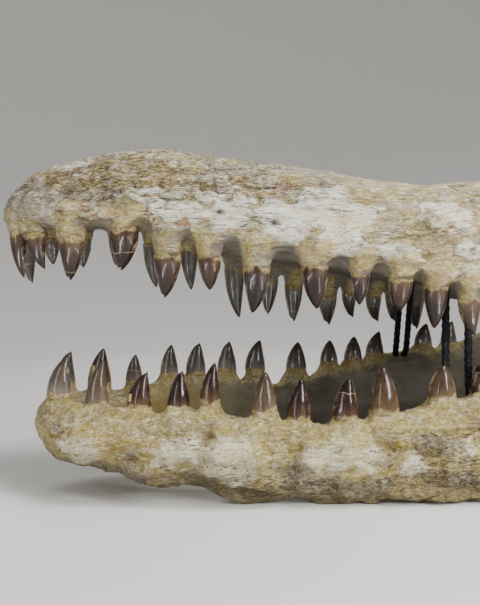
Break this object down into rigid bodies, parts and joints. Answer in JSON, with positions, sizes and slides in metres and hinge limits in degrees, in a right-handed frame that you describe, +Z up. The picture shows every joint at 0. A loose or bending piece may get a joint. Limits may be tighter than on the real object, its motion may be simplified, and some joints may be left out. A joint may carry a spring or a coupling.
{
  "type": "fossil mosasaur skull",
  "caption": "Fossil mosasaur skull resting on its lower jaw with the mouth held open by black steel props, brown pointed teeth in cream bone.",
  "frame": {"origin": "bottom centre of the skull's bounding box, on the surface that the lower jaw rests on", "axes": "+X towards the back of the skull, +Z up, -Y on the animal's left side"},
  "size_m": [1, 0.347, 0.3631],
  "materials": {
    "fossil_bone": "cream and white fossil bone with ochre stains, fine cracks and sandy yellow matrix round the tooth roots, matte",
    "jaw_bone": "cream to yellow-grey fossil bone with rough white patches and sandy matrix, matte",
    "tooth_enamel": "glossy maroon-brown to ochre fossil enamel with fine vertical streaks",
    "black_steel": "black, rough and twisted, slightly shiny on its ridges"
  },
  "bodies": {
    "root": {"cranium": "fossil_bone", "left_dentary_tooth_1": "tooth_enamel", "left_dentary_tooth_10": "tooth_enamel", "left_dentary_tooth_11": "tooth_enamel", "left_dentary_tooth_12": "tooth_enamel", "left_dentary_tooth_13": "tooth_enamel", "left_dentary_tooth_2": "tooth_enamel", "left_dentary_tooth_3": "tooth_enamel", "left_dentary_tooth_4": "tooth_enamel", "left_dentary_tooth_5": "tooth_enamel", "left_dentary_tooth_6": "tooth_enamel", "left_dentary_tooth_7": "tooth_enamel", "left_dentary_tooth_8": "tooth_enamel", "left_dentary_tooth_9": "tooth_enamel", "left_lower_jaw": "jaw_bone", "left_maxillary_tooth_1": "tooth_enamel", "left_maxillary_tooth_10": "tooth_enamel", "left_maxillary_tooth_11": "tooth_enamel", "left_maxillary_tooth_2": "tooth_enamel", "left_maxillary_tooth_3": "tooth_enamel", "left_maxillary_tooth_4": "tooth_enamel", "left_maxillary_tooth_5": "tooth_enamel", "left_maxillary_tooth_6": "tooth_enamel", "left_maxillary_tooth_7": "tooth_enamel", "left_maxillary_tooth_8": "tooth_enamel", "left_maxillary_tooth_9": "tooth_enamel", "left_premaxillary_tooth_1": "tooth_enamel", "left_premaxillary_tooth_2": "tooth_enamel", "left_prop": "black_steel", "left_quadrate": "fossil_bone", "right_dentary_tooth_1": "tooth_enamel", "right_dentary_tooth_10": "tooth_enamel", "right_dentary_tooth_11": "tooth_enamel", "right_dentary_tooth_12": "tooth_enamel", "right_dentary_tooth_13": "tooth_enamel", "right_dentary_tooth_2": "tooth_enamel", "right_dentary_tooth_3": "tooth_enamel", "right_dentary_tooth_4": "tooth_enamel", "right_dentary_tooth_5": "tooth_enamel", "right_dentary_tooth_6": "tooth_enamel", "right_dentary_tooth_7": "tooth_enamel", "right_dentary_tooth_8": "tooth_enamel", "right_dentary_tooth_9": "tooth_enamel", "right_lower_jaw": "jaw_bone", "right_maxillary_tooth_1": "tooth_enamel", "right_maxillary_tooth_10": "tooth_enamel", "right_maxillary_tooth_11": "tooth_enamel", "right_maxillary_tooth_12": "tooth_enamel", "right_maxillary_tooth_2": "tooth_enamel", "right_maxillary_tooth_3": "tooth_enamel", "right_maxillary_tooth_4": "tooth_enamel", "right_maxillary_tooth_5": "tooth_enamel", "right_maxillary_tooth_6": "tooth_enamel", "right_maxillary_tooth_7": "tooth_enamel", "right_maxillary_tooth_8": "tooth_enamel", "right_maxillary_tooth_9": "tooth_enamel", "right_premaxillary_tooth_1": "tooth_enamel", "right_premaxillary_tooth_2": "tooth_enamel", "right_prop": "black_steel", "right_quadrate": "fossil_bone"}
  },
  "joints": []
}
